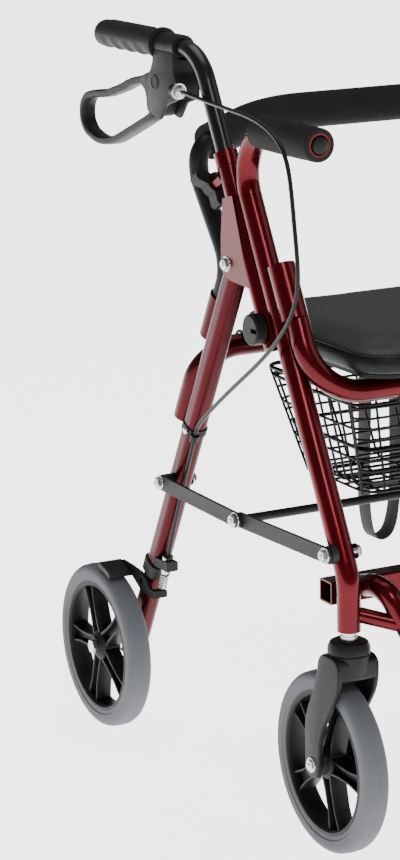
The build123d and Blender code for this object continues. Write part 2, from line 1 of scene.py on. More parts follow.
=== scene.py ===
"""Looks of a four-wheeled rollator walker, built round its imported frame, in metres.

-Y is the front, where the casters are, +Z is up and the origin lies on the floor.
"""
import logging
import math
from dataclasses import dataclass, field
from enum import Enum

import bmesh
import bpy
from mathutils import Matrix, Vector


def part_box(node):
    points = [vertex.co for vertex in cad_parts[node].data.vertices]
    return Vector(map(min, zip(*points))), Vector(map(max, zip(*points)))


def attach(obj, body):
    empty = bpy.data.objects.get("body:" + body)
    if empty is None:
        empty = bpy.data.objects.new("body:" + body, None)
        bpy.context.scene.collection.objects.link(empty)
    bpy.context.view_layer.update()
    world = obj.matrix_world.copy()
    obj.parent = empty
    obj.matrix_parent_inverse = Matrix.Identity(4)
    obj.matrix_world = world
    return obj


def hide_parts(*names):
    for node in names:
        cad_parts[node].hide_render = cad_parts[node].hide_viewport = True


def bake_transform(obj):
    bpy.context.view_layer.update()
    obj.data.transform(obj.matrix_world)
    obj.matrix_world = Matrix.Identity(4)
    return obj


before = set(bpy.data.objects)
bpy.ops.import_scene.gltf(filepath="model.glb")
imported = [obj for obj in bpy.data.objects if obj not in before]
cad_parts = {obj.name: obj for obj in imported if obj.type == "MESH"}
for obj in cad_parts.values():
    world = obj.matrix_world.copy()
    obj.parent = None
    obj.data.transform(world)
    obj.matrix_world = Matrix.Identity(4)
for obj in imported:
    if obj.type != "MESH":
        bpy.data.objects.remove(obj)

logging.basicConfig(level=logging.INFO, format="%(message)s")
log = logging.getLogger("rollator")
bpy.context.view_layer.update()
SIDES = {"right": -1.0, "left": 1.0}

# Places of the frame, in metres. A pair in brackets is (y, z), and REAR_RUN is the rear
# leg's run rearwards for each metre down.
SIDE_X = 0.265
STEM_Y = -0.2805
ARM_END = (-0.2265, 0.763)
GRIP_Z = 0.836
LEVER_PIVOT = (0.113, 0.795)
CABLE_OUT = (0.0584, 0.790)
HINGE = (-0.048, 0.613)
REAR_RUN = 0.5345
LINK_FRONT = (-0.2715, 0.340)
LINK_MIDDLE = (-0.0825, 0.3335)
LINK_REAR = (0.0995, 0.335)
FRONT_BAR = (-0.208, 0.494)
REAR_BAR = (0.032, 0.500)
BASKET_FOOT = 0.362
BASKET_DEEP = 0.120


class Grain(Enum):
    """Kinds of fine surface relief."""

    NOISE = "noise"
    LEATHER = "leather"
    CELLS = "cells"
    WEAVE = "weave"


@dataclass(frozen=True)
class Finish:
    """One surface finish with its colour variation, gloss and relief."""

    name: str
    colour: tuple[float, float, float]
    shade: tuple[float, float, float]
    rough: tuple[float, float] = (0.35, 0.5)
    metal: float = 0.0
    coat: float = 0.0
    patch: float = 14.0
    grain: Grain = Grain.NOISE
    scale: float = 600.0
    relief: float = 0.1
    depth: float = 0.0003
    shine: float = 0.16
    glow: float = 0.0

    def build(self) -> bpy.types.Material:
        """Make the node material.

        Returns:
            The material, made once and reused by name.
        """
        if self.name in bpy.data.materials:
            return bpy.data.materials[self.name]
        material = bpy.data.materials.new(self.name)
        material.use_nodes = True
        nodes, links = material.node_tree.nodes, material.node_tree.links
        shader = nodes["Principled BSDF"]
        shader.inputs["Metallic"].default_value = self.metal
        shader.inputs["Coat Weight"].default_value = self.coat
        shader.inputs["Specular IOR Level"].default_value = self.shine
        shader.inputs["Coat Roughness"].default_value = 0.06
        shader.inputs["Emission Color"].default_value = (1.0, 1.0, 1.0, 1.0)
        shader.inputs["Emission Strength"].default_value = self.glow
        place = nodes.new("ShaderNodeTexCoord").outputs["Object"]
        broad = self._noise(nodes, links, place, self.patch, 4.0)
        ramp = nodes.new("ShaderNodeValToRGB")
        ramp.color_ramp.elements[0].position = 0.35
        ramp.color_ramp.elements[1].position = 0.65
        ramp.color_ramp.elements[0].color = (*self.shade, 1.0)
        ramp.color_ramp.elements[1].color = (*self.colour, 1.0)
        links.new(broad, ramp.inputs["Fac"])
        links.new(ramp.outputs["Color"], shader.inputs["Base Color"])
        gloss = nodes.new("ShaderNodeMapRange")
        gloss.inputs["To Min"].default_value = self.rough[0]
        gloss.inputs["To Max"].default_value = self.rough[1]
        links.new(self._noise(nodes, links, place, self.patch * 6.0, 5.0), gloss.inputs["Value"])
        links.new(gloss.outputs["Result"], shader.inputs["Roughness"])
        bump = nodes.new("ShaderNodeBump")
        bump.inputs["Strength"].default_value = self.relief
        bump.inputs["Distance"].default_value = self.depth
        links.new(self._relief(nodes, links, place), bump.inputs["Height"])
        links.new(bump.outputs["Normal"], shader.inputs["Normal"])
        return material

    @staticmethod
    def _noise(nodes, links, place, scale: float, detail: float):
        """Noise factor on object coordinates."""
        noise = nodes.new("ShaderNodeTexNoise")
        noise.inputs["Scale"].default_value = scale
        noise.inputs["Detail"].default_value = detail
        links.new(place, noise.inputs["Vector"])
        return noise.outputs["Fac"]

    def _relief(self, nodes, links, place):
        """Height pattern of the finish.

        Args:
            nodes: The material's nodes.
            links: The material's links.
            place: Socket with the object coordinates.

        Returns:
            The socket that carries the height.
        """
        if self.grain is Grain.NOISE:
            return self._noise(nodes, links, place, self.scale, 3.0)
        if self.grain is Grain.WEAVE:
            wave = nodes.new("ShaderNodeTexWave")
            wave.wave_type = "BANDS"
            wave.bands_direction = "DIAGONAL"
            wave.inputs["Scale"].default_value = self.scale
            wave.inputs["Distortion"].default_value = 1.2
            links.new(place, wave.inputs["Vector"])
            return wave.outputs["Fac"]
        cells = nodes.new("ShaderNodeTexVoronoi")
        cells.feature = "DISTANCE_TO_EDGE" if self.grain is Grain.LEATHER else "F1"
        cells.inputs["Scale"].default_value = self.scale
        links.new(place, cells.inputs["Vector"])
        mix = nodes.new("ShaderNodeMath")
        mix.operation = "MULTIPLY_ADD"
        mix.inputs[1].default_value = 0.5
        links.new(self._noise(nodes, links, place, self.scale * 0.35, 4.0), mix.inputs[0])
        links.new(cells.outputs["Distance"], mix.inputs[2])
        return mix.outputs["Value"]


@dataclass(frozen=True)
class Palette:
    """The finishes of the walker."""

    ruby: Finish = Finish("ruby paint", (0.092, 0.0005, 0.0040), (0.066, 0.0003, 0.0028), (0.22, 0.32),
                          0.80, 0.22, 9.0, Grain.NOISE, 2400.0, 0.05, 0.0002)
    dark_ruby: Finish = Finish("dark ruby paint", (0.060, 0.0036, 0.0068), (0.044, 0.0024, 0.0046),
                               (0.28, 0.40), 0.80, 0.06, 9.0, Grain.NOISE, 2400.0, 0.05, 0.0002)
    gloss_black: Finish = Finish("gloss black paint", (0.004, 0.004, 0.004), (0.003, 0.003, 0.003),
                                 (0.20, 0.28), 0.0, 0.0, 10.0, Grain.NOISE, 900.0, 0.04, 0.0002,
                                 0.35)
    black_plastic: Finish = Finish("black moulding", (0.0075, 0.0072, 0.0072), (0.0050, 0.0050, 0.0050),
                                   (0.40, 0.54), 0.0, 0.0, 20.0, Grain.CELLS, 1600.0, 0.22, 0.0002)
    link_black: Finish = Finish("black link paint", (0.016, 0.016, 0.016), (0.012, 0.012, 0.012),
                                (0.42, 0.54), 0.0, 0.0, 14.0, Grain.NOISE, 1500.0, 0.15, 0.0002)
    foam: Finish = Finish("foam sleeve", (0.0090, 0.0086, 0.0084), (0.0065, 0.0062, 0.0060),
                          (0.70, 0.85), 0.0, 0.0, 18.0, Grain.CELLS, 1100.0, 0.35, 0.0004)
    grip: Finish = Finish("grip rubber", (0.0100, 0.0100, 0.0110), (0.0070, 0.0070, 0.0080),
                          (0.46, 0.60), 0.0, 0.0, 30.0, Grain.NOISE, 1300.0, 0.3, 0.0003)
    zinc: Finish = Finish("zinc plate", (0.66, 0.66, 0.64), (0.50, 0.50, 0.49), (0.18, 0.34),
                          1.0, 0.0, 60.0, Grain.NOISE, 1200.0, 0.12, 0.0002)
    brass: Finish = Finish("brass", (0.72, 0.45, 0.16), (0.58, 0.34, 0.11), (0.22, 0.36),
                           1.0, 0.0, 60.0, Grain.NOISE, 1200.0, 0.1, 0.0002)
    tyre: Finish = Finish("grey tyre", (0.100, 0.104, 0.116), (0.082, 0.086, 0.096), (0.52, 0.66),
                          0.0, 0.0, 12.0, Grain.NOISE, 1500.0, 0.18, 0.0003)
    # The seat vinyl comes as a lit copy and a shaded copy of one material: the top copy is lightened
    # with painted sheen and the side copy is darkened with painted shade.
    vinyl: Finish = Finish("seat top vinyl with painted sheen", (0.040, 0.038, 0.039), (0.034, 0.033, 0.034), (0.40, 0.50),
                           0.0, 0.0, 10.0, Grain.LEATHER, 900.0, 0.3, 0.0003)
    shaded_side_vinyl: Finish = Finish("seat side vinyl with painted shade", (0.0055, 0.0055, 0.0055), (0.0040, 0.0040, 0.0040),
                                (0.36, 0.46), 0.0, 0.0, 10.0, Grain.LEATHER, 900.0, 0.25, 0.0003)
    wire: Finish = Finish("coated wire", (0.005, 0.005, 0.005), (0.004, 0.004, 0.004), (0.36, 0.46),
                          0.0, 0.0, 24.0, Grain.NOISE, 900.0, 0.1, 0.0002)
    webbing: Finish = Finish("webbing", (0.008, 0.008, 0.008), (0.005, 0.005, 0.005), (0.7, 0.85),
                             0.0, 0.0, 90.0, Grain.WEAVE, 420.0, 0.7, 0.0006)
    sheath: Finish = Finish("cable sheath", (0.006, 0.006, 0.006), (0.004, 0.004, 0.004),
                            (0.32, 0.42), 0.0, 0.0, 24.0, Grain.NOISE, 900.0, 0.08, 0.0002)


PALETTE = Palette()
FLOOR = Finish("studio floor", (0.93, 0.93, 0.93), (0.92, 0.92, 0.92), (0.6, 0.7), 0.0, 0.0, 1.0,
               Grain.NOISE, 60.0, 0.02, 0.0005, 0.2, 3.2)


def dress(piece: bpy.types.Object, finish: Finish) -> None:
    """Give a piece or a CAD node one finish."""
    piece.data.materials.clear()
    piece.data.materials.append(finish.build())
    if piece.type == "MESH":
        for face in piece.data.polygons:
            face.material_index = 0


def finish_mesh(bm: bmesh.types.BMesh, name: str, finish: Finish, sharp: float = 35.0,
                ) -> bpy.types.Object:
    """Turn a bmesh into a shaded piece.

    Args:
        bm: The mesh, freed here.
        name: Name of the piece.
        finish: Its finish.
        sharp: Angle in degrees above which an edge stays sharp.

    Returns:
        The new object, linked to the scene.
    """
    bmesh.ops.remove_doubles(bm, verts=bm.verts, dist=1e-6)
    bmesh.ops.recalc_face_normals(bm, faces=bm.faces)
    for face in bm.faces:
        face.smooth = True
    for edge in bm.edges:
        if len(edge.link_faces) == 2 and edge.calc_face_angle(0.0) > math.radians(sharp):
            edge.smooth = False
    mesh = bpy.data.meshes.new(name)
    bm.to_mesh(mesh)
    bm.free()
    piece = bpy.data.objects.new(name, mesh)
    bpy.context.collection.objects.link(piece)
    dress(piece, finish)
    return piece


def add_tube(bm: bmesh.types.BMesh, points: list[Vector], radius: float, sides: int = 10,
             closed: bool = False) -> None:
    """Add a round wire along points, as a ring swept from joint to joint.

    Args:
        bm: Mesh to add to.
        points: Centre line, in order.
        radius: Wire radius.
        sides: Sides of the ring.
        closed: Whether the line joins its own start.
    """
    count = len(points)
    rings = []
    normal = None
    for i, point in enumerate(points):
        before = points[i - 1] if i or closed else point
        after = points[(i + 1) % count] if i < count - 1 or closed else point
        way = (after - before).normalized()
        if normal is None:
            normal = way.orthogonal().normalized()
        normal = (normal - way * normal.dot(way)).normalized()
        turn = Matrix((normal, way.cross(normal), way)).transposed().to_4x4()
        ring = bmesh.ops.create_circle(bm, segments=sides, radius=radius,
                                       matrix=Matrix.Translation(point) @ turn)["verts"]
        rings.append(ring)
    pairs = list(zip(rings, rings[1:])) + ([(rings[-1], rings[0])] if closed else [])
    for low, high in pairs:
        for k in range(sides):
            bm.faces.new((low[k], low[(k + 1) % sides], high[(k + 1) % sides], high[k]))
    if not closed:
        bm.faces.new(rings[0])
        bm.faces.new(rings[-1])


def rounded(points: list[Vector], radius: float, steps: int = 6) -> list[Vector]:
    """Round the inner corners of an open line.

    Args:
        points: Corners, in order.
        radius: How far from each corner the round begins, at most.
        steps: Points along each round.

    Returns:
        The line with its corners rounded.
    """
    line = [points[0]]
    for a, b, c in zip(points, points[1:], points[2:]):
        reach = min(radius, (a - b).length * 0.45, (c - b).length * 0.45)
        start, end = b + (a - b).normalized() * reach, b + (c - b).normalized() * reach
        for k in range(steps + 1):
            t = k / steps
            line.append(start.lerp(b, t).lerp(b.lerp(end, t), t))
    return line + [points[-1]]


def lathe(bm: bmesh.types.BMesh, profile: list[tuple[float, float]], centre: Vector,
          axis: Vector = Vector((1, 0, 0)), steps: int = 64, closed: bool = True) -> None:
    """Spin a profile of (along, out) points about an axis.

    Args:
        bm: Mesh to add to.
        profile: Points along the axis and out from it.
        centre: Point on the axis where along is zero.
        axis: Direction of the axis.
        steps: Steps of the full turn.
        closed: Whether the profile joins its own start.
    """
    axis = axis.normalized()
    out = axis.orthogonal().normalized()
    verts = [bm.verts.new(centre + axis * a + out * r) for a, r in profile]
    pairs = list(zip(verts, verts[1:])) + ([(verts[-1], verts[0])] if closed else [])
    edges = [bm.edges.new(pair) for pair in pairs]
    bmesh.ops.spin(bm, geom=verts + edges, cent=centre, axis=axis, angle=math.tau, steps=steps,
                   use_merge=True)


def arc(centre: tuple[float, float], radius: float, start: float, end: float, steps: int,
        ) -> list[tuple[float, float]]:
    """Points of a round corner in a profile, between two angles in degrees."""
    angles = [math.radians(start + (end - start) * k / steps) for k in range(steps + 1)]
    return [(centre[0] + radius * math.cos(a), centre[1] + radius * math.sin(a)) for a in angles]


def slab(bm: bmesh.types.BMesh, outline: list[tuple[float, float]], x0: float, x1: float,
         bevel: float = 0.0, segments: int = 3) -> None:
    """Add a flat plate with its outline in (y, z), between x0 and x1, with rounded edges.

    Args:
        bm: Mesh to add to.
        outline: Corners in order.
        x0: One side.
        x1: The other side.
        bevel: Rounding of the rim edges.
        segments: Steps of the rounding.
    """
    part = bmesh.new()
    verts = [part.verts.new((x0, y, z)) for y, z in outline]
    face = part.faces.new(verts)
    grown = bmesh.ops.extrude_face_region(part, geom=[face])["geom"]
    moved = [v for v in grown if isinstance(v, bmesh.types.BMVert)]
    bmesh.ops.translate(part, verts=moved, vec=(x1 - x0, 0, 0))
    if bevel:
        rims = [e for e in part.edges if abs(e.verts[0].co.x - e.verts[1].co.x) < 1e-7]
        bmesh.ops.bevel(part, geom=rims, offset=bevel, affect="EDGES", segments=segments,
                        profile=0.5, material=-1)
    join(bm, part)


def join(bm: bmesh.types.BMesh, part: bmesh.types.BMesh) -> None:
    """Move the faces of one bmesh into another and free it."""
    mesh = bpy.data.meshes.new("joined part")
    part.to_mesh(mesh)
    part.free()
    bm.from_mesh(mesh)
    bpy.data.meshes.remove(mesh)


def smooth_outline(corners: list[tuple[float, float]], radius: float, steps: int = 5,
                   ) -> list[tuple[float, float]]:
    """Round every corner of a closed (y, z) outline."""
    ring = [Vector((y, z, 0)) for y, z in corners]
    ring = [ring[-1]] + ring + [ring[0]]
    line = rounded(ring, radius, steps)[1:-1]
    return [(p.x, p.y) for p in line]


def hex_bolt(bm: bmesh.types.BMesh, at: Vector, way: Vector, radius: float = 0.0065,
             thick: float = 0.0042) -> None:
    """Add a hexagon head with a chamfer and a washer under it.

    Args:
        bm: Mesh to add to.
        at: Middle of the washer's seat.
        way: Direction that the head stands out in.
        radius: Corner radius of the hexagon.
        thick: Height of the head.
    """
    way = way.normalized()
    side = way.orthogonal().normalized()
    turn = Matrix((side, way.cross(side), way)).transposed().to_4x4()
    part = bmesh.new()
    bmesh.ops.create_cone(part, cap_ends=True, segments=6, radius1=radius, radius2=radius,
                          depth=thick, matrix=Matrix.Translation((0, 0, thick / 2 + 0.0010)))
    top = [e for e in part.edges if min(v.co.z for v in e.verts) > thick * 0.9]
    bmesh.ops.bevel(part, geom=top, offset=radius * 0.16, affect="EDGES", segments=2, profile=0.5,
                    material=-1)
    bmesh.ops.create_cone(part, cap_ends=True, segments=28, radius1=radius * 1.28,
                          radius2=radius * 1.24, depth=0.0012, matrix=Matrix.Translation((0, 0, 0.0006)))
    bmesh.ops.create_cone(part, cap_ends=True, segments=16, radius1=radius * 0.45,
                          radius2=radius * 0.36, depth=0.0022,
                          matrix=Matrix.Translation((0, 0, thick + 0.0018)))
    bmesh.ops.transform(part, matrix=Matrix.Translation(at) @ turn, verts=part.verts)
    join(bm, part)


def centre(node: str) -> Vector:
    """Middle of a node's box."""
    low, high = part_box(node)
    return (Vector(low) + Vector(high)) / 2


@dataclass
class Studio:
    """Pale floor, soft lights and the camera."""

    eye: Vector = field(default_factory=lambda: Vector((-1.746, -2.787, 1.1962)))
    aim: Vector = field(default_factory=lambda: Vector((-0.2501, 0.0786, 0.3963)))
    roll: float = -0.949
    lens: float = 121.4
    spread: float = 90.0

    def camera(self) -> None:
        """Set the camera up and make it the scene's."""
        data = bpy.data.cameras.new("camera")
        data.lens = self.lens
        data.clip_end = 250.0
        camera = bpy.data.objects.new("camera", data)
        bpy.context.collection.objects.link(camera)
        look = (self.aim - self.eye).to_track_quat("-Z", "Y").to_matrix().to_4x4()
        camera.matrix_world = (Matrix.Translation(self.eye) @ look
                               @ Matrix.Rotation(math.radians(self.roll), 4, "Z"))
        bpy.context.scene.camera = camera

    def floor(self) -> None:
        """Lay the pale floor, wide enough to fill the view to the horizon."""
        bm = bmesh.new()
        bmesh.ops.create_grid(bm, x_segments=1, y_segments=1, size=self.spread)
        finish_mesh(bm, "floor", FLOOR, 80.0)

    def lights(self) -> None:
        """Place the soft boxes and set the pale surroundings."""
        world = bpy.data.worlds.new("studio")
        world.use_nodes = True
        world.node_tree.nodes["Background"].inputs["Color"].default_value = (1.0, 1.0, 1.0, 1.0)
        world.node_tree.nodes["Background"].inputs["Strength"].default_value = 0.26
        bpy.context.scene.world = world
        for name, at, aim, size, power in [
                ("key", (-1.2, -3.2, 3.4), (0, 0, 0.5), 1.2, 52.0),
                ("fill", (2.8, -2.0, 2.2), (0, 0, 0.5), 2.2, 22.0),
                ("top", (0.0, 0.6, 3.6), (0, 0, 0.4), 2.4, 48.0)]:
            data = bpy.data.lights.new(name, "AREA")
            data.size = size
            data.energy = power
            light = bpy.data.objects.new(name, data)
            bpy.context.collection.objects.link(light)
            way = (Vector(aim) - Vector(at)).to_track_quat("-Z", "Y").to_matrix().to_4x4()
            light.matrix_world = Matrix.Translation(at) @ way

    def build(self) -> None:
        """Build the studio."""
        self.camera()
        self.floor()
        self.lights()


@dataclass
class Wheel:
    """A grey tyre on a black five-spoke rim."""

    kind: str
    side: str
    turn: float = 0.0
    spokes: int = 5
    bead: float = 0.0796

    def middle(self) -> Vector:
        """Middle of the wheel."""
        return centre(f"{self.kind}_tyre_{self.side}")

    def tyre(self) -> bpy.types.Object:
        """Spin the tyre with its mould line and bead steps."""
        low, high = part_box(f"{self.kind}_tyre_{self.side}")
        half = (high[0] - low[0]) / 2
        top = (high[1] - low[1]) / 2
        crown = top - 0.0004
        round_r = 0.0095
        right = arc((half - round_r, crown - round_r), round_r, 0, 78, 8)
        left = [(-a, r) for a, r in reversed(right)]
        ridge = [(0.0011, crown), (0.0006, top), (-0.0006, top), (-0.0011, crown)]
        step = [(half - 0.0004, self.bead + 0.0052), (half - 0.0016, self.bead + 0.0040),
                (half - 0.0020, self.bead)]
        profile = list(reversed(step)) + right + ridge + left + [(-a, r) for a, r in step]
        bm = bmesh.new()
        lathe(bm, profile, self.middle(), steps=120)
        piece = finish_mesh(bm, f"tyre_{self.kind}_{self.side}", PALETTE.tyre, 28.0)
        return piece

    def rim(self) -> bpy.types.Object:
        """Build the rim ring, ribbed spokes and the hub."""
        low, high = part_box(f"{self.kind}_rim_{self.side}")
        mid = self.middle()
        hub = (high[0] - low[0]) / 2
        bm = bmesh.new()
        ring = [(-0.0132, 0.0794), (0.0132, 0.0794), (0.0134, 0.0760), (0.0112, 0.0738),
                (0.0060, 0.0728), (0.0, 0.0724), (-0.0060, 0.0728), (-0.0112, 0.0738),
                (-0.0134, 0.0760)]
        lathe(bm, ring, mid, steps=120)
        bore = 0.0051
        core = [(-hub, bore), (-hub, 0.0105), (-hub + 0.0015, 0.0120), (-0.012, 0.0135),
                (-0.009, 0.0180), (0.009, 0.0180), (0.012, 0.0135), (hub - 0.0015, 0.0120),
                (hub, 0.0105), (hub, bore)]
        lathe(bm, core, mid, steps=48)
        for k in range(self.spokes):
            join(bm, self._spoke(mid, math.tau * k / self.spokes + math.radians(self.turn)))
        return finish_mesh(bm, f"rim_{self.kind}_{self.side}", PALETTE.black_plastic, 32.0)

    @staticmethod
    def _spoke(mid: Vector, angle: float) -> bmesh.types.BMesh:
        """One spoke: a web between two ribs that flare into hub and rim."""
        part = bmesh.new()
        near, far = 0.0150, 0.0745
        slab(part, [(-0.0085, near), (0.0085, near), (0.0070, 0.045), (0.0095, far),
                    (-0.0095, far), (-0.0070, 0.045)], -0.0028, 0.0028)
        for way in (-1.0, 1.0):
            rib = smooth_outline([(way * 0.0060, near), (way * 0.0098, near),
                                  (way * 0.0082, 0.030), (way * 0.0078, 0.052),
                                  (way * 0.0120, far), (way * 0.0086, far),
                                  (way * 0.0052, 0.052), (way * 0.0050, 0.030)], 0.004, 3)
            slab(part, rib, -0.0098, 0.0098, 0.0009, 2)
        turn = Matrix.Translation(mid) @ Matrix.Rotation(angle, 4, "X")
        bmesh.ops.transform(part, matrix=turn, verts=part.verts)
        return part

    def build(self) -> None:
        """Build the wheel and set it on its body."""
        body = f"{'caster_wheel' if self.kind == 'caster' else 'rear_wheel'}_{self.side}"
        for piece, node, slot in ((self.tyre(), "tyre", "grey_tyre"),
                                  (self.rim(), "rim", "black_plastic")):
            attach(piece, body)
            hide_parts(f"{self.kind}_{node}_{self.side}")


@dataclass
class Fork:
    """Black caster fork: capped crown, shoulders and two legs down to the axle."""

    side: str

    def build(self) -> None:
        """Model the fork and its bolts."""
        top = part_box(f"caster_fork_{self.side}")[1].z
        axle = centre(f"caster_tyre_{self.side}")
        head = Vector((centre(f"caster_bolts_{self.side}").x, STEM_Y, 0.0))
        bm = bmesh.new()
        crown = [(0.2100, 0.0), (0.2100, 0.0205), (0.2180, 0.0226), (0.2325, 0.0230),
                 (0.2335, 0.0221), (0.2345, 0.0230), (0.2405, 0.0228), (0.2455, 0.0205),
                 (top - 0.0002, 0.0160), (top, 0.0)]
        lathe(bm, crown, head, Vector((0, 0, 1)), 64, False)
        outline = smooth_outline([
            (head.y - 0.0215, 0.232), (head.y + 0.0215, 0.232), (head.y + 0.0270, 0.200),
            (axle.y + 0.0150, 0.150), (axle.y + 0.0140, axle.z - 0.012),
            (axle.y, axle.z - 0.0150), (axle.y - 0.0140, axle.z - 0.012),
            (axle.y - 0.0180, 0.140), (head.y - 0.0190, 0.196)], 0.016, 6)
        for way in (-1.0, 1.0):
            x = axle.x + way * 0.0196
            slab(bm, outline, x, x + way * 0.0058, 0.0020, 3)
        shoulder = smooth_outline([(head.y - 0.0205, 0.206), (head.y + 0.0230, 0.206),
                                   (head.y + 0.0205, 0.2305), (head.y - 0.0200, 0.2305)], 0.006, 4)
        slab(bm, shoulder, axle.x - 0.0235, axle.x + 0.0235, 0.0030, 3)
        piece = finish_mesh(bm, f"fork_{self.side}", PALETTE.black_plastic, 36.0)
        body = f"caster_{self.side}"
        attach(piece, body)
        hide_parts(f"caster_fork_{self.side}")
        self._bolts(head, axle)

    def _bolts(self, head: Vector, axle: Vector) -> None:
        """Stem with its nut, and the axle with a bolt head and a nut."""
        bm = bmesh.new()
        stem = [(0.2300, 0.0), (0.2300, 0.0060), (0.2481, 0.0060), (0.2481, 0.0090),
                (0.2520, 0.0090), (0.2524, 0.0075), (0.2560, 0.0072), (0.2562, 0.0060),
                (0.2830, 0.0060), (0.2840, 0.0050), (0.2840, 0.0)]
        lathe(bm, stem, head, Vector((0, 0, 1)), 40, False)
        for way in (-1.0, 1.0):
            hex_bolt(bm, Vector((axle.x + way * 0.0254, axle.y, axle.z)), Vector((way, 0, 0)),
                     0.0066, 0.0024)
        lathe(bm, [(-0.0256, 0.0), (-0.0256, 0.0050), (0.0256, 0.0050), (0.0256, 0.0)], axle,
              Vector((1, 0, 0)), 28, False)
        piece = finish_mesh(bm, f"caster_bolt_set_{self.side}", PALETTE.zinc, 30.0)
        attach(piece, f"caster_{self.side}")
        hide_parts(f"caster_bolts_{self.side}")


@dataclass
class Handle:
    """Push handle: moulded grip, brake housing and loop lever."""

    side: str
    finger_pitch: float = 0.029
    groove: float = 0.0026

    def grip(self) -> None:
        """Shape the grip with finger grooves below and a raised palm pad above."""
        low, high = (Vector(c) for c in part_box(f"handle_grip_{self.side}"))
        axis = Vector(((low.x + high.x) / 2, low.y, (low.z + high.z) / 2))
        length = high.y - low.y
        profile = [(0.0, 0.0101), (0.0, 0.0186), (0.0012, 0.0190), (0.0034, 0.0190),
                   (0.0050, 0.0172), (0.0075, 0.0158)]
        steps = 60
        profile += [(0.0075 + (length - 0.0145) * k / steps, 0.0160) for k in range(1, steps)]
        profile += [(length - 0.0070, 0.0160), (length - 0.0030, 0.0150),
                    (length - 0.0006, 0.0118), (length, 0.0070), (length, 0.0)]
        bm = bmesh.new()
        lathe(bm, profile, axis, Vector((0, 1, 0)), 56, False)
        for vert in bm.verts:
            along = vert.co.y - low.y
            if not 0.009 < along < length - 0.004:
                continue
            out = Vector((vert.co.x - axis.x, 0, vert.co.z - axis.z))
            reach = out.length
            if reach < 0.008:
                continue
            below = max(0.0, -out.z / reach)
            above = max(0.0, out.z / reach)
            fade = min(1.0, (along - 0.009) / 0.010, (length - 0.004 - along) / 0.012)
            wave = 0.5 - 0.5 * math.cos(math.tau * (along - 0.016) / self.finger_pitch)
            grow = -self.groove * wave * below ** 0.6 * fade
            inside = 0.030 < along < length - 0.022
            grow += (0.0018 if inside else 0.0) * max(0.0, above - 0.35)
            vert.co += out.normalized() * grow
        piece = finish_mesh(bm, f"grip_{self.side}", PALETTE.grip, 40.0)
        self._add(piece, f"handle_{self.side}", f"handle_grip_{self.side}", "grip_rubber")

    def housing(self) -> None:
        """Clamp, cheeks and cable boss of the brake housing."""
        x = centre(f"handle_tube_{self.side}").x
        out = SIDES[self.side]
        bm = bmesh.new()
        clamp = [(0.0680, 0.0101), (0.0680, 0.0135), (0.0692, 0.0145), (0.0870, 0.0145),
                 (0.0878, 0.0138), (0.0886, 0.0145), (0.1128, 0.0145), (0.1140, 0.0135),
                 (0.1140, 0.0101)]
        lathe(bm, clamp, Vector((x, 0, GRIP_Z)), Vector((0, 1, 0)), 48)
        cheek = smooth_outline([(0.068, 0.832), (0.114, 0.832), (0.121, 0.812), (0.132, 0.798),
                                (0.129, 0.760), (0.102, 0.752), (0.086, 0.772), (0.058, 0.780),
                                (0.058, 0.798), (0.068, 0.808)], 0.006, 4)
        for way in (-1.0, 1.0):
            slab(bm, cheek, x + way * 0.0104, x + way * 0.0145, 0.0013, 2)
            lathe(bm, [(0.0, 0.0), (0.0, 0.0088), (0.0010, 0.0084), (0.0012, 0.0070),
                       (0.0006, 0.0064), (0.0006, 0.0)],
                  Vector((x + way * 0.0143, *LEVER_PIVOT)), Vector((way, 0, 0)), 36, False)
        core = smooth_outline([(0.068, 0.830), (0.112, 0.830), (0.110, 0.814), (0.086, 0.810),
                               (0.080, 0.781), (0.058, 0.780), (0.058, 0.798), (0.068, 0.808)],
                              0.004, 3)
        slab(bm, core, x - 0.0120, x + 0.0120, 0.001, 2)
        boss_x = x + out * 0.012
        lathe(bm, [(0.0584, 0.0), (0.0584, 0.0066), (0.0594, 0.0075), (0.0705, 0.0075),
                   (0.0720, 0.0060), (0.0720, 0.0)],
              Vector((boss_x, 0, CABLE_OUT[1])), Vector((0, 1, 0)), 36, False)
        piece = finish_mesh(bm, f"brake_body_{self.side}", PALETTE.black_plastic, 34.0)
        self._add(piece, f"handle_{self.side}", f"brake_housing_{self.side}", "black_plastic")
        nut = bmesh.new()
        hex_bolt(nut, Vector((boss_x, *CABLE_OUT)), Vector((0, -1, 0)), 0.0072, 0.0048)
        lathe(nut, [(0.0470, 0.0), (0.0470, 0.0040), (0.0478, 0.0046), (0.0510, 0.0046),
                    (0.0514, 0.0040), (0.0540, 0.0040), (0.0540, 0.0)],
              Vector((boss_x, 0, CABLE_OUT[1])), Vector((0, 1, 0)), 32, False)
        piece = finish_mesh(nut, f"cable_nut_{self.side}", PALETTE.zinc, 30.0)
        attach(piece, f"handle_{self.side}")

    def lever(self) -> None:
        """Loop lever: a flat band bent into a loop, with the boss at its pivot."""
        x = centre(f"handle_tube_{self.side}").x
        corners = [(0.130, 0.7985), (0.190, 0.7870), (0.214, 0.7780), (0.258, 0.7660),
                   (0.282, 0.7640), (0.308, 0.7590), (0.3190, 0.7480), (0.3205, 0.7300),
                   (0.3090, 0.7170), (0.2785, 0.7085), (0.2410, 0.7125), (0.1670, 0.7415),
                   (0.1290, 0.7570)]
        ring = [Vector((x, y, z)) for y, z in smooth_outline(corners, 0.020, 5)]
        bm = bmesh.new()
        self._band(bm, ring, 0.0095, 0.0048)
        boss = smooth_outline([(0.099, 0.805), (0.134, 0.805), (0.160, 0.7965), (0.158, 0.7880),
                               (0.146, 0.780), (0.143, 0.758), (0.112, 0.7545), (0.098, 0.774)],
                              0.006, 4)
        slab(bm, boss, x - 0.0098, x + 0.0098, 0.0016, 3)
        lathe(bm, [(-0.0142, 0.0), (-0.0142, 0.0040), (0.0142, 0.0040), (0.0142, 0.0)],
              Vector((x, *LEVER_PIVOT)), Vector((1, 0, 0)), 28, False)
        piece = finish_mesh(bm, f"lever_{self.side}", PALETTE.black_plastic, 34.0)
        body = f"brake_lever_{self.side}"
        self._add(piece, body, f"brake_lever_{self.side}", "black_plastic")

